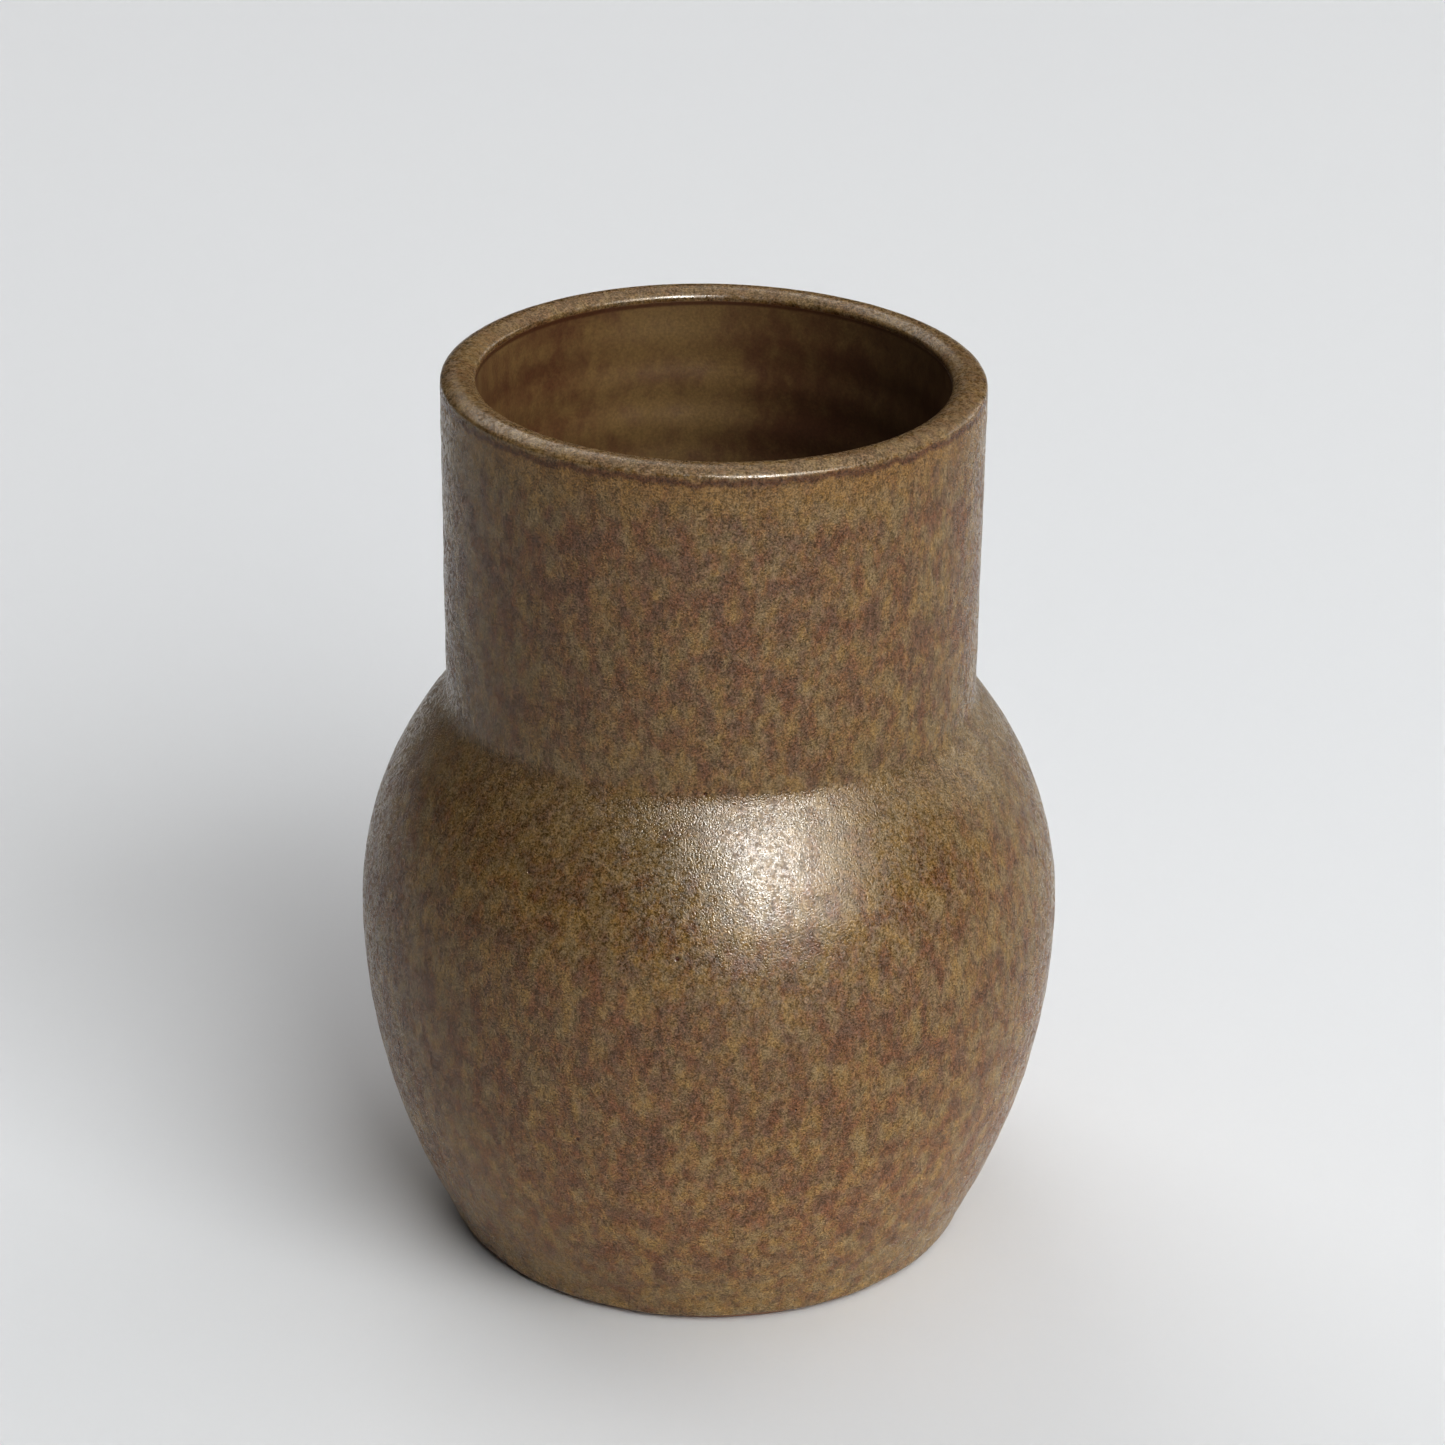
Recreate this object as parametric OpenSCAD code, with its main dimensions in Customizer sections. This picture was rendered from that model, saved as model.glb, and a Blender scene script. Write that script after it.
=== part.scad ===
// Thrown stoneware bud vase: a wide cylindrical neck on a round bulb, glazed inside and out.
// Every piece is a ring of revolution about Z. The vase stands on the plane Z = 0.

/* [Overall shape] */
// Height from the table to the top of the lip
height = 120; // [112:1:150]
// Outer diameter of the cylindrical neck, over the glaze
neck_d = 69.2; // [62:0.2:74]
// Outer diameter of the bulb at its widest, over the glaze
belly_d = 92.8; // [91.4:0.2:96]
// Height of the widest point above the table
belly_z = 45; // [42:0.5:48]
// Outer diameter of the foot where it meets the table
foot_d = 69.8; // [66:0.2:71.4]
// Angle by which the straight lowest wall leans out from vertical
foot_lean = 24.5; // [22:0.5:26]
// Radius of the shoulder's arc, from the widest point up to the crease
shoulder_r = 46.4; // [44:0.2:50]
// Radius of the hollow crease where the neck meets the shoulder
crease_r = 4.2; // [2:0.1:8]

/* [Wall and lip] */
// Thickness of the wall, with the glaze on both faces
wall = 4.5; // [3.5:0.1:4.9]
// Thickness of the clay floor
floor_t = 5; // [4:0.1:8]
// Radius of the bowl-shaped corner inside, between floor and wall
corner_r = 12; // [6:0.5:16]
// Radius of the lip's crown
crown_r = 3.1; // [2.8:0.1:4]
// Radius of the two edges of the lip
lip_edge_r = 0.7; // [0.5:0.05:1]

/* [Foot] */
// Depth of the hollow trimmed under the foot
recess_h = 3.4; // [2:0.1:3.8]
// Inner diameter of the foot ring where it meets the table
recess_d = 58; // [50:0.5:60]
// Bevel along both edges of the foot ring
foot_bevel = 0.4; // [0.2:0.05:0.8]

/* [Glaze] */
// Thickness of the glaze coats
glaze_t = 0.4; // [0.3:0.05:0.45]
// Thickness of the liner glaze pooled on the floor
pool_t = 0.8; // [0.4:0.1:1.5]
// Height of the bare clay below the outside glaze
bare_h = 0.6; // [0.5:0.1:2]
// How far the lip's glaze band reaches down from the top, on both faces
lip_band = 1.5; // [1.5:0.1:3]

/* [Hidden] */
// Facets round the vase, and the largest angle between two points of an arc
$fn = 180;
arc_step = 2.5;

neck_r = neck_d / 2;
belly_r = belly_d / 2;
foot_r = foot_d / 2;
floor_z = recess_h + floor_t;
lip_line = height - lip_band;
bore_r = neck_r - wall;

// The lower wall is a straight lean that runs tangent into one long arc up to the widest point
foot_dx = belly_r - foot_r;
lower_r = (belly_z * sin(foot_lean) - foot_dx * cos(foot_lean)) / (1 - cos(foot_lean));
lower_c = [belly_r - lower_r, belly_z];

// The shoulder is one arc, and the crease is a hollow arc tangent to it and to the neck
shoulder_c = [belly_r - shoulder_r, belly_z];
crease_dx = neck_r + crease_r - shoulder_c[0];
crease_dz = sqrt(pow(shoulder_r + crease_r, 2) - pow(crease_dx, 2));
crease_c = [neck_r + crease_r, belly_z + crease_dz];
crease_a = atan2(crease_dz, crease_dx);
neck_z = crease_c[1];

// The lip is a crown arc with a small arc at each edge, tangent to the crown and to the wall
crown_c = [neck_r - wall / 2, height - crown_r];
edge_dx = wall / 2 - lip_edge_r;
edge_dz = sqrt(pow(crown_r - lip_edge_r, 2) - pow(edge_dx, 2));
edge_a = atan2(edge_dz, edge_dx);

clay = [0.72, 0.55, 0.42];
ochre_glaze = [0.44, 0.33, 0.2];
olive_glaze = [0.5, 0.45, 0.35];
liner_glaze = [0.3, 0.2, 0.12];

// Points along an arc about c, from angle a0 to angle a1
function arc(c, r, a0, a1) =
    let (steps = ceil(abs(a1 - a0) / arc_step))
    [for (i = [0:steps]) c + r * [cos(a0 + (a1 - a0) * i / steps), sin(a0 + (a1 - a0) * i / steps)]];

function reversed(points) = [for (i = [len(points) - 1:-1:0]) points[i]];

// The lowest wall's radius at height z, at a depth under the outer surface
function lean_r(depth, z) = foot_r - depth / cos(foot_lean) + z * tan(foot_lean);

// The bulb's side at a depth under its outer surface, from height z up to the neck
function bulb_side(depth, z) = concat(
    [[lean_r(depth, z), z]],
    arc(lower_c, lower_r - depth, -foot_lean, 0),
    arc(shoulder_c, shoulder_r - depth, 0, crease_a),
    arc(crease_c, crease_r + depth, 180 + crease_a, 180)
);

// The hollow's side at a depth under the outer surface, from the neck down to the floor's centre
function hollow_side(depth, bottom, corner) =
    let (
        corner_dz = belly_z - bottom - corner,
        corner_reach = lower_r - depth - corner,
        corner_c = [lower_c[0] + sqrt(pow(corner_reach, 2) - pow(corner_dz, 2)), bottom + corner],
        corner_a = asin(corner_dz / corner_reach)
    )
    concat(
        arc(crease_c, crease_r + depth, 180, 180 + crease_a),
        arc(shoulder_c, shoulder_r - depth, crease_a, 0),
        arc(lower_c, lower_r - depth, 0, -corner_a),
        arc(corner_c, corner, -corner_a, -90),
        [[0, bottom]]
    );

// The lip's outline at a depth under the glaze, from the outside to the inside
function lip_side(depth) = concat(
    [[neck_r - depth, lip_line]],
    arc(crown_c + [edge_dx, edge_dz], lip_edge_r - depth, 0, edge_a),
    arc(crown_c, crown_r - depth, edge_a, 180 - edge_a),
    arc(crown_c + [-edge_dx, edge_dz], lip_edge_r - depth, 180 - edge_a, 180),
    [[bore_r + depth, lip_line]]
);

module turned(outline) {
    rotate_extrude() polygon(outline);
}

// Bare clay ring, trimmed out of the base, that the vase stands on
module foot_ring() {
    outer_r = lean_r(glaze_t, 0);
    color(clay) turned([
        [recess_d / 2 + foot_bevel, 0],
        [outer_r - foot_bevel, 0],
        [lean_r(glaze_t, foot_bevel), foot_bevel],
        [lean_r(glaze_t, recess_h), recess_h],
        [recess_d / 2, recess_h],
        [recess_d / 2, foot_bevel]
    ]);
}

// Clay floor, belly and shoulder, thrown as one bowl
module bulb_body() {
    color(clay) turned(concat(
        [[0, recess_h]],
        bulb_side(glaze_t, recess_h),
        hollow_side(wall - glaze_t, floor_z, corner_r)
    ));
}

// Clay cylinder with a rounded lip, joined to the shoulder at the crease
module neck_collar() {
    color(clay) turned(concat(
        [[neck_r - glaze_t, neck_z]],
        lip_side(glaze_t),
        [[bore_r + glaze_t, neck_z]]
    ));
}

// Ochre and brown glaze on the outside, from just above the foot to the lip
module outer_glaze() {
    color(ochre_glaze) turned(concat(
        bulb_side(0, bare_h),
        [[neck_r, lip_line], [neck_r - glaze_t, lip_line]],
        reversed(bulb_side(glaze_t, bare_h))
    ));
}

// Paler band over the lip, where the outer glaze and the liner overlap
module lip_glaze() {
    color(olive_glaze) turned(concat(lip_side(0), reversed(lip_side(glaze_t))));
}

// Dark liner glaze poured inside, pooled on the floor
module inner_glaze() {
    color(liner_glaze) turned(concat(
        [[bore_r, lip_line]],
        hollow_side(wall, floor_z + pool_t, corner_r - glaze_t),
        reversed(hollow_side(wall - glaze_t, floor_z, corner_r)),
        [[bore_r + glaze_t, lip_line]]
    ));
}

foot_ring();
bulb_body();
neck_collar();
outer_glaze();
lip_glaze();
inner_glaze();
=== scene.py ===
import math

import bpy
import numpy as np
from mathutils import Matrix, Vector


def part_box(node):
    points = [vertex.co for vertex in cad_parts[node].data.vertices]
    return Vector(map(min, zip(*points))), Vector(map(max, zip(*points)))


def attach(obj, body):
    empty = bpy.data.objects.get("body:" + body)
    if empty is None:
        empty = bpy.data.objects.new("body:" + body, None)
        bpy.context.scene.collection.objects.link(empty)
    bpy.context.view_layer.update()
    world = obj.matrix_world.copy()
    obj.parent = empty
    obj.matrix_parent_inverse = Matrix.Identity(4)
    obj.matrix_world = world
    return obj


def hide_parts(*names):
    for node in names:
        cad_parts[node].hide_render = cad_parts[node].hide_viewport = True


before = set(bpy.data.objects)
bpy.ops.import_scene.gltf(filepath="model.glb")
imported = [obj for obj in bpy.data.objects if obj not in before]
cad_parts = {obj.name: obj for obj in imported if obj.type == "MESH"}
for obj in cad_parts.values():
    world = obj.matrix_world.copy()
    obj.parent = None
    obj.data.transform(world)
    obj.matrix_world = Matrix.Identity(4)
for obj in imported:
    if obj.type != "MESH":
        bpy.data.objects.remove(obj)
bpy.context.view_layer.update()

# ---------------------------------------------------------------------------------------------
# Sizes, in metres. The CAD nodes' boxes give the main ones, and the arcs repeat part.scad's.
# ---------------------------------------------------------------------------------------------
MM = 0.001
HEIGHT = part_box("lip_glaze")[1][2]
LIP_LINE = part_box("lip_glaze")[0][2]
NECK_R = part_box("lip_glaze")[1][0]
NECK_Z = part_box("neck_collar")[0][2]
BELLY_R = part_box("outer_glaze")[1][0]
BARE_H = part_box("outer_glaze")[0][2]
RECESS_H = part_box("foot_ring")[1][2]
FLOOR_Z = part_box("inner_glaze")[0][2]

BELLY_Z = 45 * MM
FOOT_R = 34.9 * MM
FOOT_LEAN = math.radians(24.5)
SHOULDER_R = 46.4 * MM
CREASE_R = 4.2 * MM
WALL = 4.5 * MM
CORNER_R = 12 * MM
CROWN_R = 3.1 * MM
LIP_EDGE_R = 0.7 * MM
RECESS_R = 29 * MM
FOOT_BEVEL = 0.4 * MM
GLAZE_T = 0.4 * MM
POOL_T = 0.8 * MM

# The lower wall leans straight up from the foot, then follows one long arc to the belly
FOOT_DX = BELLY_R - FOOT_R
LOWER_R = (BELLY_Z * math.sin(FOOT_LEAN) - FOOT_DX * math.cos(FOOT_LEAN)) / (1 - math.cos(FOOT_LEAN))
LOWER_C = np.array([BELLY_R - LOWER_R, BELLY_Z])
SHOULDER_C = np.array([BELLY_R - SHOULDER_R, BELLY_Z])
CREASE_C = np.array([NECK_R + CREASE_R, NECK_Z])
CREASE_A = math.atan2(NECK_Z - BELLY_Z, CREASE_C[0] - SHOULDER_C[0])
CROWN_C = np.array([NECK_R - WALL / 2, HEIGHT - CROWN_R])
EDGE_DX = WALL / 2 - LIP_EDGE_R
EDGE_DZ = math.sqrt((CROWN_R - LIP_EDGE_R) ** 2 - EDGE_DX ** 2)
EDGE_A = math.atan2(EDGE_DZ, EDGE_DX)

TURN = 2 * math.pi
SAME_POINT = 1e-7
random = np.random.default_rng(11)


# ---------------------------------------------------------------------------------------------
# Outlines: lists of (radius, height) points
# ---------------------------------------------------------------------------------------------
def arc(centre, radius, start, end, step):
    """Points along an arc, no more than a step apart."""
    count = max(2, math.ceil(abs(end - start) * radius / step))
    angles = np.linspace(start, end, count + 1)
    return centre + radius * np.column_stack([np.cos(angles), np.sin(angles)])


def line(start, end, step):
    """Points along a straight line, no more than a step apart."""
    start, end = np.array(start, float), np.array(end, float)
    count = max(1, math.ceil(np.linalg.norm(end - start) / step))
    return start + (end - start) * np.linspace(0, 1, count + 1)[:, None]


def joined(*stretches):
    """One outline out of several stretches, with no point twice in a row."""
    points = np.concatenate([np.atleast_2d(s) for s in stretches])
    apart = np.linalg.norm(np.diff(points, axis=0), axis=1) > SAME_POINT
    return points[np.concatenate([[True], apart])]


def lean_r(depth, z):
    return FOOT_R - depth / math.cos(FOOT_LEAN) + z * math.tan(FOOT_LEAN)


def bulb_side(depth, z, step):
    """The bulb's side at a depth under its surface, from height z up to the neck."""
    first = LOWER_C + (LOWER_R - depth) * np.array([math.cos(FOOT_LEAN), -math.sin(FOOT_LEAN)])
    return joined(
        line([lean_r(depth, z), z], first, step),
        arc(LOWER_C, LOWER_R - depth, -FOOT_LEAN, 0, step),
        arc(SHOULDER_C, SHOULDER_R - depth, 0, CREASE_A, step),
        arc(CREASE_C, CREASE_R + depth, math.pi + CREASE_A, math.pi, min(step, 0.35 * MM)),
    )


def outer_r(z):
    """The outer surface's radius at height z."""
    side = joined(bulb_side(0, BARE_H, 0.2 * MM), [[NECK_R, HEIGHT]])
    return float(np.interp(z, side[:, 1], side[:, 0]))


def hollow_side(depth, bottom, corner, step):
    """The hollow's side at a depth under the outer surface, from the neck down to the floor's centre."""
    corner_dz = BELLY_Z - bottom - corner
    reach = LOWER_R - depth - corner
    corner_c = np.array([LOWER_C[0] + math.sqrt(reach ** 2 - corner_dz ** 2), bottom + corner])
    corner_a = math.asin(corner_dz / reach)
    return joined(
        arc(CREASE_C, CREASE_R + depth, math.pi, math.pi + CREASE_A, step),
        arc(SHOULDER_C, SHOULDER_R - depth, CREASE_A, 0, step),
        arc(LOWER_C, LOWER_R - depth, 0, -corner_a, step),
        arc(corner_c, corner, -corner_a, -math.pi / 2, step),
        line([corner_c[0], bottom], [0, bottom], step),
    )


def lip_side(depth, step):
    """The lip's outline at a depth under the glaze, from the outside to the inside."""
    right = CROWN_C + [EDGE_DX, EDGE_DZ]
    left = CROWN_C + [-EDGE_DX, EDGE_DZ]
    return joined(
        [[NECK_R - depth, LIP_LINE]],
        arc(right, LIP_EDGE_R - depth, 0, EDGE_A, step),
        arc(CROWN_C, CROWN_R - depth, EDGE_A, math.pi - EDGE_A, step),
        arc(left, LIP_EDGE_R - depth, math.pi - EDGE_A, math.pi, step),
        [[NECK_R - WALL + depth, LIP_LINE]],
    )


# ---------------------------------------------------------------------------------------------
# Relief: how a hand-thrown surface departs from its outline
# ---------------------------------------------------------------------------------------------
def waves(count, lobes, pitch):
    """A bundle of cosine waves round and along the vase: whole numbers of lobes, and pitches in metres."""
    return [
        (int(random.integers(lobes[0], lobes[1] + 1)), TURN / random.uniform(*pitch), random.uniform(0, TURN),
         random.choice([-1, 1]))
        for _ in range(count)
    ]


def sum_waves(bundle, angle, along):
    """The bundle's height, about -1 to 1, at each angle and distance along the outline."""
    total = sum(np.cos(sign * lobes * angle + rate * along + phase) for lobes, rate, phase, sign in bundle)
    return total / math.sqrt(2 * len(bundle))


SWELL = waves(26, (3, 30), (7 * MM, 30 * MM))
RIPPLE = waves(30, (12, 70), (3 * MM, 8 * MM))

# How deep each kind of relief is, how far apart the finger lines are, how far under the rim the glaze is
# thinnest, and how far above its lower edge it is thickest
OVAL = 0.10 * MM
THREE_LOBES = 0.05 * MM
RIM_SLOPE = 0.16 * MM
RIM_WAVE = 0.05 * MM
GLAZE_SWELL = 0.035 * MM
GLAZE_RIPPLE = 0.012 * MM
GLAZE_FINGERS = 0.018 * MM
GLAZE_FINGER_PITCH = 5.2 * MM
LIP_THINNING = 0.05 * MM
LIP_THIN_AT = 1.35 * MM
FOOT_ROLL = 0.10 * MM
FOOT_ROLL_AT = 0.9 * MM
FOOT_SCALLOPS = 0.09 * MM
LINER_SWELL = 0.03 * MM
LINER_FINGERS = 0.10 * MM
LINER_FINGER_PITCH = 6.5 * MM
TRIM_GROOVES = 0.018 * MM
CLAY_RIPPLE = 0.012 * MM
FOOT_RIPPLE = 0.02 * MM


def out_of_round(angle, z):
    """The slight oval of a pot lifted off the wheel, which grows towards the rim."""
    grown = np.clip(z / HEIGHT, 0, 1)
    return OVAL * np.cos(2 * angle + 0.7) * (0.4 + grown) + THREE_LOBES * np.cos(3 * angle + 2.1) * grown


def rim_dip(angle, z):
    """The rim isn't level: it runs a little low on one side and high on the other."""
    near_rim = np.clip((z - NECK_Z) / (HEIGHT - NECK_Z), 0, 1) ** 2
    return near_rim * (RIM_SLOPE * np.cos(angle - 2.6) + RIM_WAVE * np.cos(3 * angle + 0.4))


def finger_lines(angle, along, pitch):
    """The spiral left by a potter's fingers."""
    drift = 0.8 * np.cos(angle - 0.4) + 0.5 * np.cos(2 * angle + along * 90)
    return np.cos(TURN * along / pitch + angle + drift)


# ---------------------------------------------------------------------------------------------
# Meshes
# ---------------------------------------------------------------------------------------------
# A point nearer the axis than this is on it, and a fold sharper than this angle stays sharp
ON_AXIS = 1e-6
SHARP_ANGLE = math.radians(50)

# How many steps go round each piece
OUTSIDE_STEPS = 420
LINER_STEPS = 360
BULB_STEPS = 240
FOOT_STEPS = 360
FLOOR_STEPS = 96

# Height of the rolled lower edge of the outside glaze
BEAD_H = 0.45 * MM

# The hidden outline of a piece that is shown all round
NOTHING_HIDDEN = np.empty((0, 2))


def turned(name, shown, hidden, segments, relief, closed=True):
    """A shell of revolution: a shown outline with relief, and a hidden one that closes it behind.
    A point on the axis becomes one vertex. Where closed is false, the last ring isn't joined to the first."""
    outline = np.concatenate([shown, hidden]) if len(hidden) else shown
    count = len(outline)
    tangent = np.roll(outline, -1, axis=0) - np.roll(outline, 1, axis=0)
    tangent[0] = outline[1] - outline[0]
    tangent[len(shown) - 1] = shown[-1] - shown[-2]
    tangent /= np.maximum(np.linalg.norm(tangent, axis=1, keepdims=True), 1e-12)
    normal = np.column_stack([tangent[:, 1], -tangent[:, 0]])
    along = np.concatenate([[0], np.cumsum(np.linalg.norm(np.diff(outline, axis=0), axis=1))])
    angle = TURN * np.arange(segments) / segments
    grid_angle, grid_along = np.meshgrid(angle, along)
    grid_r, grid_z = (np.repeat(outline[:, k:k + 1], segments, axis=1) for k in (0, 1))
    push, lift = relief(grid_angle, grid_along, grid_r, grid_z)
    is_shown = (np.arange(count) < len(shown))[:, None]
    push, lift = np.where(is_shown, push, 0), np.where(is_shown, lift, 0)
    round_push = out_of_round(grid_angle, grid_z)
    radius = grid_r + push * normal[:, 0:1] + round_push * np.clip(grid_r / NECK_R, 0, 1)
    height = grid_z + push * normal[:, 1:2] + lift + rim_dip(grid_angle, grid_z)
    points, first = [], []
    for i in range(count):
        first.append(len(points))
        if outline[i, 0] < ON_AXIS:
            points.append((0.0, 0.0, float(height[i].mean())))
            continue
        points.extend(zip(radius[i] * np.cos(angle), radius[i] * np.sin(angle), height[i]))
    faces = []
    rings = [(i, (i + 1) % count) for i in range(count if closed else count - 1)]
    for i, j in rings:
        lone_i, lone_j = outline[i, 0] < ON_AXIS, outline[j, 0] < ON_AXIS
        if lone_i and lone_j:
            continue
        for k in range(segments):
            m = (k + 1) % segments
            if lone_i:
                faces.append((first[i], first[j] + m, first[j] + k))
            elif lone_j:
                faces.append((first[i] + k, first[i] + m, first[j]))
            else:
                faces.append((first[i] + k, first[i] + m, first[j] + m, first[j] + k))
    mesh = bpy.data.meshes.new(name)
    mesh.from_pydata(points, [], faces)
    mesh.validate()
    mesh.shade_smooth()
    mesh.set_sharp_from_angle(angle=SHARP_ANGLE)
    piece = bpy.data.objects.new(name, mesh)
    bpy.context.scene.collection.objects.link(piece)
    return piece


def place(piece, material, slot, *nodes):
    """Gives a piece its material, hangs it under the root, and hides the CAD nodes that it stands for."""
    piece.data.materials.clear()
    piece.data.materials.append(material)
    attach(piece, "root")
    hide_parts(*nodes)


def hump(z, centre, width):
    """A smooth hump: 1 at a height, and falling away over a width on both sides of it."""
    return np.exp(-((z - centre) / width) ** 2)


def glazed_relief(angle, along, radius, z):
    """Soft unevenness of a glaze that has run over finger lines. It is thinner on the lip's edges, and its
    lower edge is thick and scalloped."""
    push = GLAZE_SWELL * sum_waves(SWELL, angle, along) + GLAZE_RIPPLE * sum_waves(RIPPLE, angle, along)
    push += GLAZE_FINGERS * finger_lines(angle, along, GLAZE_FINGER_PITCH)
    above_foot = np.clip((z - BARE_H) / (2.5 * MM), 0, 1)
    below_rim = np.clip((HEIGHT - z) / (6 * MM), 0.25, 1)
    push = push * above_foot * below_rim
    push -= LIP_THINNING * hump(z, HEIGHT - LIP_THIN_AT, 0.25 * MM)
    push += FOOT_ROLL * hump(z, BARE_H + FOOT_ROLL_AT, 0.7 * MM)
    near_foot = np.exp(-np.clip(z - BARE_H, 0, 1) / FOOT_ROLL_AT)
    scallops = np.cos(5 * angle + 1.0) + np.cos(11 * angle + 3.0) + 0.6 * np.cos(23 * angle)
    return push, near_foot * FOOT_SCALLOPS * scallops


def liner_relief(angle, along, radius, z):
    """Finger ridges show more inside, and fade out in the pool on the floor."""
    depth = np.clip((LIP_LINE - z) / (10 * MM), 0, 1)
    level = np.clip((z - FLOOR_Z - POOL_T - 0.2 * MM) / (8 * MM), 0, 1)
    push = LINER_SWELL * sum_waves(SWELL, angle, along) * depth
    push += LINER_FINGERS * finger_lines(angle, along, LINER_FINGER_PITCH) * depth * level
    return push, np.zeros_like(push)


def clay_relief(angle, along, radius, z):
    """Fine trimming grooves cut round the bare clay, which fade out at the centre."""
    groove = np.cos(TURN * along / (1.1 * MM) + angle) + 0.5 * np.cos(TURN * along / (2.7 * MM) + 2 * angle)
    push = TRIM_GROOVES * groove + CLAY_RIPPLE * sum_waves(RIPPLE, angle, along)
    return push * np.clip(radius / (2 * MM), 0, 1), np.zeros_like(push)


def foot_relief(angle, along, radius, z):
    """The foot ring is sponged smooth: only a soft unevenness, and none where it meets the table."""
    push = FOOT_RIPPLE * sum_waves(RIPPLE, angle, along) * np.clip(z / (0.3 * MM), 0, 1)
    return push, np.zeros_like(push)


def no_relief(angle, along, radius, z):
    return np.zeros_like(z), np.zeros_like(z)


def outer_coat():
    """The outside glaze, from its rolled lower edge up to the lip's band."""
    step = 0.66 * MM
    front = joined(bulb_side(0, BARE_H + BEAD_H, step), line([NECK_R, NECK_Z], [NECK_R, LIP_LINE], step))
    quarter = np.linspace(0, math.pi / 2, 7)[:-1]
    bead_z = BARE_H + BEAD_H * (1 - np.cos(quarter))
    bead = np.column_stack([lean_r(GLAZE_T * (1 - np.sin(quarter)), bead_z), bead_z])
    back = joined(
        line([NECK_R - GLAZE_T, LIP_LINE], [NECK_R - GLAZE_T, NECK_Z], 12 * MM),
        bulb_side(GLAZE_T, BARE_H + 0.2 * MM, 6 * MM)[::-1],
    )
    return turned("outer_glaze_coat", joined(bead, front), back, OUTSIDE_STEPS, glazed_relief)


def lip_coat():
    """The band of glaze over the lip."""
    front = lip_side(0, 0.2 * MM)
    back = lip_side(GLAZE_T, 0.5 * MM)[::-1]
    return turned("lip_glaze_coat", front, back, OUTSIDE_STEPS, glazed_relief)


def liner_coat():
    """The glaze inside, from the lip's band down to the pool on the floor."""
    step = 0.8 * MM
    bore = NECK_R - WALL
    front = joined(
        line([bore, LIP_LINE], [bore, NECK_Z], step),
        hollow_side(WALL, FLOOR_Z + POOL_T, CORNER_R - GLAZE_T, step),
    )
    back = joined(
        hollow_side(WALL - GLAZE_T, FLOOR_Z, CORNER_R, 6 * MM)[::-1],
        line([bore + GLAZE_T, NECK_Z], [bore + GLAZE_T, LIP_LINE], 12 * MM),
    )
    return turned("liner_glaze_coat", front, back, LINER_STEPS, liner_relief)


def clay_bulb():
    """The clay bowl under the glaze. Only its base, inside the foot ring, is bare."""
    base = line([0, RECESS_H], [RECESS_R, RECESS_H], 0.35 * MM)
    rest = joined(
        bulb_side(GLAZE_T, RECESS_H, 5 * MM),
        hollow_side(WALL - GLAZE_T, FLOOR_Z, CORNER_R, 5 * MM),
    )
    return turned("clay_bulb", base, rest, BULB_STEPS, clay_relief)


def clay_foot():
    """The bare ring that the vase stands on, with both its lower edges rounded."""
    step, bevel_step = 0.3 * MM, 0.1 * MM
    outer_r = lean_r(GLAZE_T, 0)
    inner_c = np.array([RECESS_R + FOOT_BEVEL, FOOT_BEVEL])
    outer_c = np.array([outer_r - FOOT_BEVEL, FOOT_BEVEL])
    outline = joined(
        line([RECESS_R, RECESS_H], [RECESS_R, FOOT_BEVEL], step),
        arc(inner_c, FOOT_BEVEL, math.pi, 1.5 * math.pi, bevel_step),
        line([RECESS_R + FOOT_BEVEL, 0], [outer_r - FOOT_BEVEL, 0], step),
        arc(outer_c, FOOT_BEVEL, -math.pi / 2, -0.3, bevel_step),
        line([lean_r(GLAZE_T, 0.5 * MM), 0.5 * MM], [lean_r(GLAZE_T, RECESS_H), RECESS_H], step),
    )
    return turned("clay_foot_ring", outline, NOTHING_HIDDEN, FOOT_STEPS, foot_relief)


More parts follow.
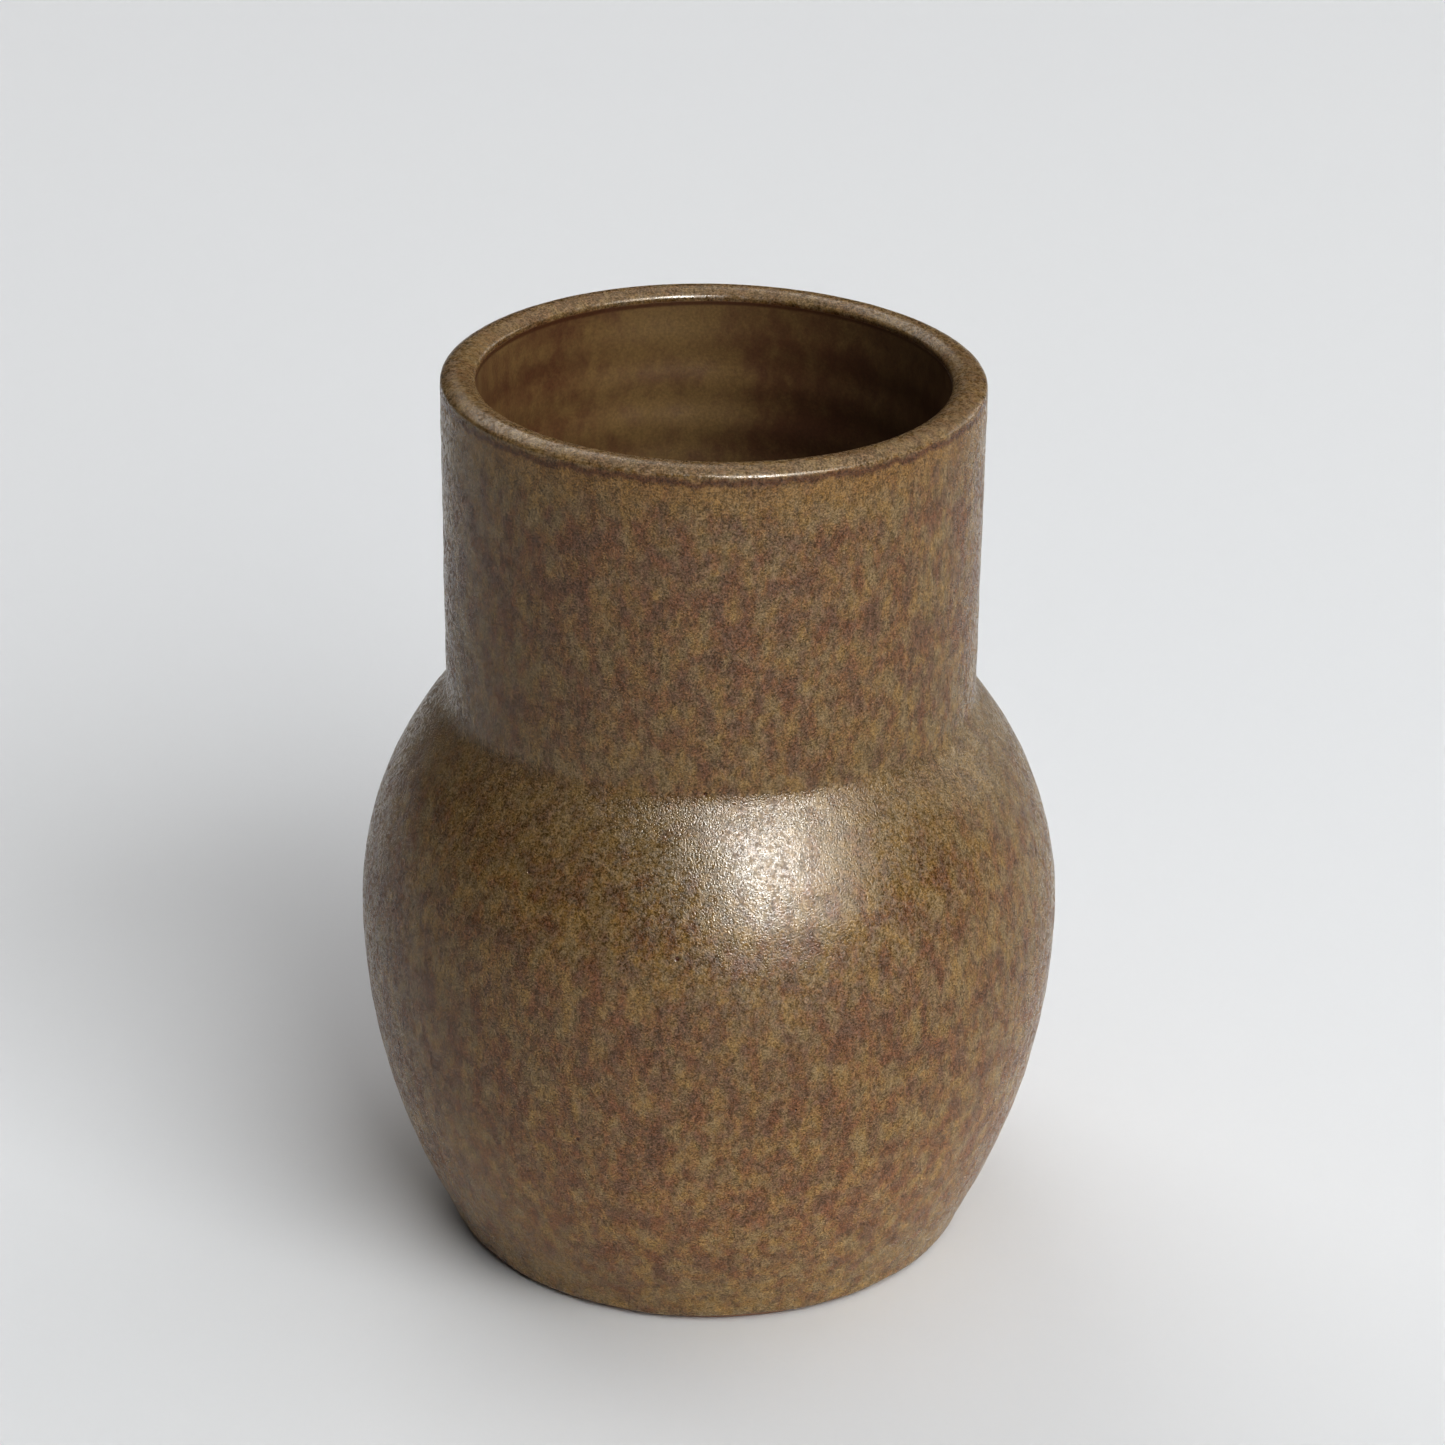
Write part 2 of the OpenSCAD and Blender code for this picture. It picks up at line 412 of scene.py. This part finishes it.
# ---------------------------------------------------------------------------------------------
# Materials
# ---------------------------------------------------------------------------------------------
class Shader:
    """Short ways to add nodes to one material."""

    def __init__(self, name):
        self.material = bpy.data.materials.new(name)
        self.material.use_nodes = True
        self.tree = self.material.node_tree
        self.tree.nodes.clear()
        self.surface = self.add("ShaderNodeBsdfPrincipled")
        output = self.add("ShaderNodeOutputMaterial")
        self.tree.links.new(self.surface.outputs["BSDF"], output.inputs["Surface"])
        self.coords = self.add("ShaderNodeTexCoord").outputs["Object"]

    def add(self, kind, **settings):
        node = self.tree.nodes.new(kind)
        for key, value in settings.items():
            setattr(node, key, value)
        return node

    def feed(self, socket, value):
        """Links a socket, or sets it to a number or colour."""
        if isinstance(value, bpy.types.NodeSocket):
            self.tree.links.new(value, socket)
        else:
            socket.default_value = value

    def math(self, operation, a, b=0.0):
        node = self.add("ShaderNodeMath", operation=operation)
        self.feed(node.inputs[0], a)
        self.feed(node.inputs[1], b)
        return node.outputs[0]

    def apart(self, a, b):
        """How far apart two numbers are."""
        return self.math("ABSOLUTE", self.math("SUBTRACT", a, b))

    def stirred(self, value, noise, amount):
        """A value moved up and down by an amount times a noise whose middle is 0.5."""
        return self.math("ADD", value, self.math("MULTIPLY", self.math("SUBTRACT", noise, 0.5), amount))

    def stretched(self, factors):
        """Object coordinates with each axis multiplied by a factor."""
        node = self.add("ShaderNodeVectorMath", operation="MULTIPLY")
        self.feed(node.inputs[0], self.coords)
        node.inputs[1].default_value = factors
        return node.outputs[0]

    def noise(self, size, detail=2.0, rough=0.5, twist=0.0, factors=(1, 1, 1)):
        """Cloudy noise, 0 to 1, whose features are about a size across, in metres."""
        node = self.add("ShaderNodeTexNoise")
        self.feed(node.inputs["Vector"], self.stretched(factors))
        node.inputs["Scale"].default_value = 1 / size
        node.inputs["Detail"].default_value = detail
        node.inputs["Roughness"].default_value = rough
        node.inputs["Distortion"].default_value = twist
        return node.outputs["Fac"]

    def spots(self, size):
        """Distance from the nearest of many scattered points, in cells of a size."""
        node = self.add("ShaderNodeTexVoronoi")
        self.feed(node.inputs["Vector"], self.coords)
        node.inputs["Scale"].default_value = 1 / size
        return node.outputs["Distance"]

    def distance_from(self, place):
        """Distance from a point, in metres."""
        node = self.add("ShaderNodeVectorMath", operation="DISTANCE")
        self.feed(node.inputs[0], self.coords)
        node.inputs[1].default_value = place
        return node.outputs["Value"]

    def pinholes(self, places):
        """1 inside small round holes at (angle, height, width), in degrees and mm, and 0 elsewhere."""
        covered = 0.0
        for degrees, height, width in places:
            z = height * MM
            radius = outer_r(z)
            turn = math.radians(degrees)
            distance = self.distance_from((radius * math.sin(turn), -radius * math.cos(turn), z))
            inside = self.rescale(distance, 0.25 * width * MM, 0.55 * width * MM, 1.0, 0.0)
            covered = self.math("MAXIMUM", inside, covered)
        return covered

    def height(self):
        """Height above the table, in metres."""
        node = self.add("ShaderNodeSeparateXYZ")
        self.feed(node.inputs[0], self.coords)
        return node.outputs["Z"]

    def rescale(self, value, low, high, to_low=0.0, to_high=1.0, smooth=True):
        """Takes the span from low to high to another span, and holds its ends beyond it."""
        node = self.add("ShaderNodeMapRange", interpolation_type="SMOOTHSTEP" if smooth else "LINEAR")
        self.feed(node.inputs["Value"], value)
        for socket, number in zip(node.inputs[1:5], (low, high, to_low, to_high)):
            self.feed(socket, number)
        return node.outputs["Result"]

    def profile(self, height, stops):
        """A smooth curve of level against height, through stops given as (height in mm, level)."""
        low, high = stops[0][0], stops[-1][0]
        node = self.add("ShaderNodeValToRGB")
        self.feed(node.inputs[0], self.rescale(height, low * MM, high * MM, smooth=False))
        elements = node.color_ramp.elements
        node.color_ramp.interpolation = "EASE"
        for i, (stop, level) in enumerate(stops):
            position = (stop - low) / (high - low)
            element = elements[i] if i < 2 else elements.new(position)
            element.position = position
            element.color = (level, level, level, 1)
        return node.outputs["Color"]

    def mix(self, amount, a, b, blend="MIX"):
        node = self.add("ShaderNodeMix", data_type="RGBA", blend_type=blend, clamp_factor=True)
        self.feed(node.inputs["Factor"], amount)
        for socket, value in ((node.inputs[6], a), (node.inputs[7], b)):
            self.feed(socket, (*value, 1) if isinstance(value, tuple) else value)
        return node.outputs[2]

    def scaled(self, colour, level):
        """A colour times twice a level, so that a level of 0.5 leaves it as it is."""
        return self.mix(1.0, colour, self.mix(level, (0, 0, 0), (2, 2, 2)), "MULTIPLY")

    def bump(self, height, distance, under=None):
        """Tilts the surface by a height, 0 to 1, over a distance in metres."""
        node = self.add("ShaderNodeBump")
        node.inputs["Strength"].default_value = 1.0
        node.inputs["Distance"].default_value = distance
        self.feed(node.inputs["Height"], height)
        if under is not None:
            self.feed(node.inputs["Normal"], under)
        return node.outputs["Normal"]

    def finish(self, colour, roughness, normal, **fixed):
        """Links or sets the surface's sockets. The fixed ones are uniform numbers, such as IOR."""
        self.feed(self.surface.inputs["Base Color"], colour)
        self.feed(self.surface.inputs["Roughness"], roughness)
        self.feed(self.surface.inputs["Normal"], normal)
        for socket, value in fixed.items():
            self.surface.inputs[socket.replace("_", " ")].default_value = value
        return self.material


# Colours, in linear light
RED_BROWN = (0.173, 0.082, 0.040)
PLUM_BROWN = (0.149, 0.081, 0.046)
OCHRE = (0.206, 0.130, 0.049)
OLIVE = (0.190, 0.130, 0.061)
AMBER = (0.215, 0.115, 0.032)
BREAK_BROWN = (0.085, 0.030, 0.011)
DARK_LINER = (0.125, 0.056, 0.026)
OCHRE_LINER = (0.220, 0.142, 0.060)
CLAY = (0.36, 0.21, 0.135)
DARK_CLAY = (0.34, 0.185, 0.115)
LIGHT_GRIT = (0.50, 0.32, 0.22)
DARK_SPECK = (0.10, 0.055, 0.035)
TOASTED = (0.26, 0.125, 0.07)
COOL_PAPER = (0.655, 0.657, 0.665)
WARM_PAPER = (0.672, 0.670, 0.666)

# The glaze's colour is multiplied by something between these, grain by grain
DARK_GRAIN = (0.285, 0.24, 0.03)
LIGHT_GRAIN = (1.715, 1.76, 1.97)

# Where the liner glaze clouds over to ochre, on the back of the neck's bore: partly its own colour and partly
# painted light where the window shines in
OCHRE_CLOUD_AND_PAINTED_LIGHT = (-7 * MM, 29 * MM, 107 * MM)

# Pinholes in the glaze: angle from the front in degrees, height and width in mm
PINHOLES = [
    (-5, 59, 0.8), (-1, 77, 0.6), (-21, 32, 0.6), (-33, 66, 0.5), (14, 38, 0.4), (64, 52, 0.6),
    (-75, 36, 0.5), (118, 57, 0.7), (165, 31, 0.6), (-140, 48, 0.8), (-100, 96, 0.5), (95, 101, 0.4),
]


def mottled_glaze(name):
    """Ochre over red-brown in small soft mottles, more of it at some heights, with a sparkling grain."""
    s = Shader(name)
    z = s.height()
    runny = (1, 1, 0.62)
    cloud = s.noise(16 * MM, 2)
    mottle = s.noise(2.3 * MM, 4, 0.6, 0.2, runny)
    tint = s.noise(1.7 * MM, 2, 0.55, 0.0, runny)
    shade = s.noise(0.70 * MM, 2, 0.65, 0.0, runny)
    grain = s.noise(0.24 * MM, 1, 0.6)
    crawl = s.noise(2.2 * MM, 3, 0.6, 0.0, (1, 1, 0.25))
    # How much ochre each height shows, with the bands' edges made uneven
    uneven_z = s.stirred(z, crawl, 4 * MM)
    band = s.profile(uneven_z, [
        (0.0, 0.85), (4.5, 0.75), (10, 0.50), (22, 0.42), (34, 0.50), (44, 0.50),
        (56, 0.54), (66, 0.66), (72, 0.74), (76.5, 0.60), (79, 0.66), (88, 0.48),
        (107, 0.40), (111.5, 0.60), (115, 0.8), (118, 0.8), (120, 0.4),
    ])
    amount = s.stirred(s.stirred(mottle, band, 0.32), cloud, 0.22)
    ochre = s.rescale(amount, 0.32, 0.68)
    brown = s.mix(s.rescale(tint, 0.40, 0.60), RED_BROWN, PLUM_BROWN)
    yellow = s.mix(s.rescale(tint, 0.42, 0.58), OCHRE, OLIVE)
    colour = s.mix(ochre, brown, yellow)
    # Olive bands: under the crease, and on the lip's crown
    under_crease = s.profile(uneven_z, [
        (64, 0.0), (70, 0.30), (74, 0.45), (76.2, 0.45), (77.2, 0.0), (79, 0.0),
    ])
    lip = s.rescale(z, HEIGHT - 1.45 * MM, HEIGHT - 1.05 * MM)
    olive = s.math("MAXIMUM", under_crease, s.math("MULTIPLY", lip, 0.6))
    colour = s.mix(olive, colour, OLIVE)
    # Amber where the glaze gathers under the lip
    under_lip = s.profile(uneven_z, [
        (112, 0.0), (114.5, 0.15), (116, 0.45), (117.8, 0.6), (119, 0.0), (121, 0.0),
    ])
    colour = s.mix(under_lip, colour, AMBER)
    # Glaze runs thin over the lip's edges and shows dark, in a line that wanders
    wander = s.math("MULTIPLY", crawl, 2.2 * MM)
    edge = s.apart(s.math("ADD", z, wander), HEIGHT - 0.75 * MM)
    thin = s.rescale(edge, 0.05 * MM, 0.75 * MM, 0.8, 0.0)
    colour = s.mix(thin, colour, BREAK_BROWN)
    # Light and dark grain
    fine = s.math("ADD", shade, s.math("MULTIPLY", grain, 2.0))
    uneven = s.math("ADD", s.math("MULTIPLY", mottle, 0.6), fine)
    light = s.rescale(uneven, 1.35, 2.25, 0.10, 0.90, smooth=False)
    colour = s.mix(1.0, colour, s.mix(light, DARK_GRAIN, LIGHT_GRAIN), "MULTIPLY")
    # Painted light makes the glaze paler towards the foot, where the lower belly faces down into shade, and
    # painted shade makes it a little darker under the crease, to damp the sheen there
    painted_light_and_shade = s.profile(z, [
        (0.0, 0.73), (20, 0.72), (34, 0.60), (48, 0.53), (60, 0.50), (69, 0.46),
        (76, 0.46), (78, 0.50), (120, 0.50),
    ])
    colour = s.scaled(colour, painted_light_and_shade)
    # The grain's relief is strongest just under the crease, and softest at the foot and on the neck
    glint = s.profile(z, [
        (0.0, 0.5), (40, 0.6), (60, 0.9), (70, 1.0), (76, 1.8), (77.5, 0.5), (120, 0.4),
    ])
    # Glossy and matt grains lie side by side
    matt = s.rescale(s.noise(0.65 * MM, 4, 0.75), 0.45, 0.60, 0.0, 0.38)
    roughness = s.math("ADD", s.rescale(mottle, 0.40, 0.60, 0.20, 0.12), matt)
    normal = s.bump(s.noise(1.8 * MM, 2), 0.030 * MM)
    normal = s.bump(s.math("MULTIPLY", grain, glint), 0.060 * MM, normal)
    hole = s.pinholes(PINHOLES)
    colour = s.mix(hole, colour, BREAK_BROWN)
    normal = s.bump(s.math("SUBTRACT", 1.0, hole), 0.12 * MM, normal)
    return s.finish(colour, roughness, normal, IOR=1.5)


def liner_glaze(name):
    """Dark brown glaze with soft rings, clouded with ochre at the back, which is partly painted light, and
    darkest along the lip's band.
    """
    s = Shader(name)
    z = s.height()
    cloud = s.noise(18 * MM, 2)
    rings = s.noise(5 * MM, 2, 0.5, 0.0, (0.25, 0.25, 1))
    fleck = s.noise(2.4 * MM, 4, 0.6, 0.2, (1, 1, 0.7))
    grain = s.noise(0.38 * MM, 2, 0.6)
    amount = s.math("ADD", s.math("MULTIPLY", rings, 0.35), s.math("MULTIPLY", fleck, 0.65))
    amount = s.stirred(amount, cloud, 0.4)
    under_lip = s.rescale(z, HEIGHT - 9 * MM, HEIGHT - 3 * MM, 0, 0.08)
    # The ochre cloud is partly the glaze's own ochre and partly painted light, where the window shines into
    # the bore
    ochre_and_painted_light = s.rescale(s.distance_from(OCHRE_CLOUD_AND_PAINTED_LIGHT), 4 * MM, 19 * MM, 0.25, 0.0)
    amount = s.math("ADD", s.math("ADD", amount, under_lip), ochre_and_painted_light)
    colour = s.mix(s.rescale(amount, 0.36, 0.80), DARK_LINER, OCHRE_LINER)
    uneven_z = s.math("ADD", z, s.math("MULTIPLY", fleck, 0.3 * MM))
    edge = s.apart(uneven_z, LIP_LINE)
    colour = s.mix(s.rescale(edge, 0.10 * MM, 0.5 * MM, 0.85, 0.0), colour, BREAK_BROWN)
    colour = s.scaled(colour, s.rescale(grain, 0.25, 0.75, 0.4, 0.6, smooth=False))
    normal = s.bump(grain, 0.03 * MM)
    return s.finish(colour, s.rescale(fleck, 0.3, 0.7, 0.40, 0.30, smooth=False), normal, IOR=1.5)


def bare_clay(name):
    """Bare fired stoneware: pinkish buff, with light grit and dark specks, and toasted low on the foot."""
    s = Shader(name)
    cloud = s.noise(9 * MM, 3)
    grit = s.noise(0.35 * MM, 3, 0.7)
    speck = s.spots(1.5 * MM)
    colour = s.mix(s.rescale(cloud, 0.35, 0.65), CLAY, DARK_CLAY)
    colour = s.mix(s.rescale(grit, 0.3, 0.7, 0.0, 0.45), colour, LIGHT_GRIT)
    colour = s.mix(s.rescale(speck, 0.06, 0.14, 0.75, 0.0), colour, DARK_SPECK)
    toasted = s.rescale(s.height(), 0.0, RECESS_H, 0.35, 0.0)
    colour = s.mix(toasted, colour, TOASTED)
    normal = s.bump(grit, 0.05 * MM)
    return s.finish(colour, s.rescale(cloud, 0.3, 0.7, 0.88, 0.78, smooth=False), normal, IOR=1.45)


def pale_floor(name):
    """Matt pale paper."""
    s = Shader(name)
    tone = s.noise(0.5, 2)
    colour = s.mix(tone, COOL_PAPER, WARM_PAPER)
    normal = s.bump(s.noise(0.8 * MM, 3), 0.01 * MM)
    return s.finish(colour, s.rescale(tone, 0, 1, 0.85, 0.9), normal, IOR=1.3)


# ---------------------------------------------------------------------------------------------
# The vase
# ---------------------------------------------------------------------------------------------
def build_vase():
    """The rebuilt pieces, and a new material for the neck's clay, which is the CAD's own solid."""
    clay = bare_clay("bare_stoneware")
    place(outer_coat(), mottled_glaze("mottled_glaze"), "outer_glaze", "outer_glaze")
    place(lip_coat(), mottled_glaze("lip_glaze_band"), "lip_glaze", "lip_glaze")
    place(liner_coat(), liner_glaze("liner_glaze"), "liner_glaze", "inner_glaze")
    place(clay_bulb(), clay, "bare_stoneware", "bulb_body")
    place(clay_foot(), clay, "bare_stoneware", "foot_ring")
    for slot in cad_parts["neck_collar"].material_slots:
        slot.material = clay


# ---------------------------------------------------------------------------------------------
# Floor, lights and camera
# ---------------------------------------------------------------------------------------------
# Radius of the floor, and the point that the lights are aimed at
FLOOR_R = 9.0
LIGHT_AIM = Vector((0, 0, 0.06))

# Lights' colours
DAYLIGHT = (0.96, 0.985, 1.0)
CURTAIN = (1.0, 0.98, 0.94)
WHITE = (1.0, 1.0, 1.0)
WARM_WHITE = (1.0, 0.99, 0.97)

# The room's colour, what the camera sees of it, and the direction it is brightest in
ROOM = (0.97, 0.98, 1.0, 1)
BACKDROP = (0.74, 0.75, 0.76, 1)
CEILING = (0.25, 0.10, 0.96)

# Where the ceiling's light begins and is full, as the cosine to that direction, and its strength at each
CEILING_EDGE, CEILING_MIDDLE = 0.5, 1.0
DIM, BRIGHT = 0.01, 1.15

# Where the camera stands, how it is turned, in radians, and its lens and sensor, in mm
CAMERA_AT = (0, -477.4 * MM, 295.7 * MM)
PITCH, YAW, ROLL = 0.44074, 0.00327, -0.01134
LENS, SENSOR = 99.65, 36


def build_floor():
    """A wide disc of paper, built as rings that grow outwards."""
    radii = np.concatenate([[0], np.geomspace(0.05, FLOOR_R, 24)])
    outline = np.column_stack([radii, np.zeros_like(radii)])
    floor = turned("floor", outline, NOTHING_HIDDEN, FLOOR_STEPS, no_relief, closed=False)
    floor.data.materials.append(pale_floor("pale_paper"))
    for vertex in floor.data.vertices:
        vertex.co.z = 0.0


def area_light(name, azimuth, elevation, distance, size, power, colour):
    """A soft rectangular light aimed at the vase. Azimuth 0 is the camera's side, and grows rightwards."""
    data = bpy.data.lights.new(name, "AREA")
    data.shape = "RECTANGLE"
    data.size, data.size_y = size
    data.energy = power
    data.color = colour
    light = bpy.data.objects.new(name, data)
    a, e = math.radians(azimuth), math.radians(elevation)
    towards = Vector((math.sin(a) * math.cos(e), -math.cos(a) * math.cos(e), math.sin(e)))
    light.location = LIGHT_AIM + towards * distance
    light.rotation_euler = towards.to_track_quat("Z", "Y").to_euler()
    bpy.context.scene.collection.objects.link(light)
    return light


def build_lights():
    """A window on the right, split into its diffuse light and two reflections, and two weak lights behind."""
    window = area_light("window", 36, 35, 2.6, (2.0, 1.8), 76, DAYLIGHT)
    window_shine = area_light("window_shine", 18, 40, 2.4, (0.6, 2.2), 126, DAYLIGHT)
    curtain_shine = area_light("curtain_shine", 40, 37, 2.4, (1.1, 2.0), 62, CURTAIN)
    area_light("back_right", 125, 16, 2.4, (1.6, 0.9), 12, WHITE)
    area_light("back_left", -150, 45, 2.4, (1.7, 1.3), 17, WARM_WHITE)
    window.visible_glossy = False
    window_shine.visible_diffuse = False
    curtain_shine.visible_diffuse = False


def build_world():
    """A dim room under a pale ceiling, slightly brighter on the right, and pale where the camera sees it."""
    world = bpy.data.worlds.new("room")
    world.use_nodes = True
    tree = world.node_tree
    tree.nodes.clear()
    coords = tree.nodes.new("ShaderNodeTexCoord")
    towards = tree.nodes.new("ShaderNodeVectorMath")
    towards.operation = "DOT_PRODUCT"
    towards.inputs[1].default_value = CEILING
    tree.links.new(coords.outputs["Generated"], towards.inputs[0])
    strength = tree.nodes.new("ShaderNodeMapRange")
    strength.interpolation_type = "SMOOTHSTEP"
    for socket, number in zip(strength.inputs[1:5], (CEILING_EDGE, CEILING_MIDDLE, DIM, BRIGHT)):
        socket.default_value = number
    tree.links.new(towards.outputs["Value"], strength.inputs["Value"])
    room = tree.nodes.new("ShaderNodeBackground")
    room.inputs["Color"].default_value = ROOM
    tree.links.new(strength.outputs["Result"], room.inputs["Strength"])
    seen = tree.nodes.new("ShaderNodeBackground")
    seen.inputs["Color"].default_value = BACKDROP
    path = tree.nodes.new("ShaderNodeLightPath")
    choose = tree.nodes.new("ShaderNodeMixShader")
    output = tree.nodes.new("ShaderNodeOutputWorld")
    tree.links.new(path.outputs["Is Camera Ray"], choose.inputs[0])
    tree.links.new(room.outputs[0], choose.inputs[1])
    tree.links.new(seen.outputs[0], choose.inputs[2])
    tree.links.new(choose.outputs[0], output.inputs["Surface"])
    bpy.context.scene.world = world


def build_camera():
    """A long lens that looks down at the vase from the front."""
    forward = Vector((math.sin(YAW) * math.cos(PITCH), math.cos(YAW) * math.cos(PITCH), -math.sin(PITCH)))
    level = Vector((math.cos(YAW), -math.sin(YAW), 0))
    below = forward.cross(level)
    right = math.cos(ROLL) * level + math.sin(ROLL) * below
    down = math.cos(ROLL) * below - math.sin(ROLL) * level
    data = bpy.data.cameras.new("camera")
    data.sensor_width = SENSOR
    data.lens = LENS
    data.clip_start, data.clip_end = 0.01, 50
    camera = bpy.data.objects.new("camera", data)
    rotation = Matrix((right, -down, -forward)).transposed().to_4x4()
    camera.matrix_world = Matrix.Translation(CAMERA_AT) @ rotation
    bpy.context.scene.collection.objects.link(camera)
    bpy.context.scene.camera = camera


build_vase()
build_floor()
build_world()
build_lights()
build_camera()
bpy.context.scene.view_settings.view_transform = "Standard"
bpy.context.scene.view_settings.gamma = 0.75
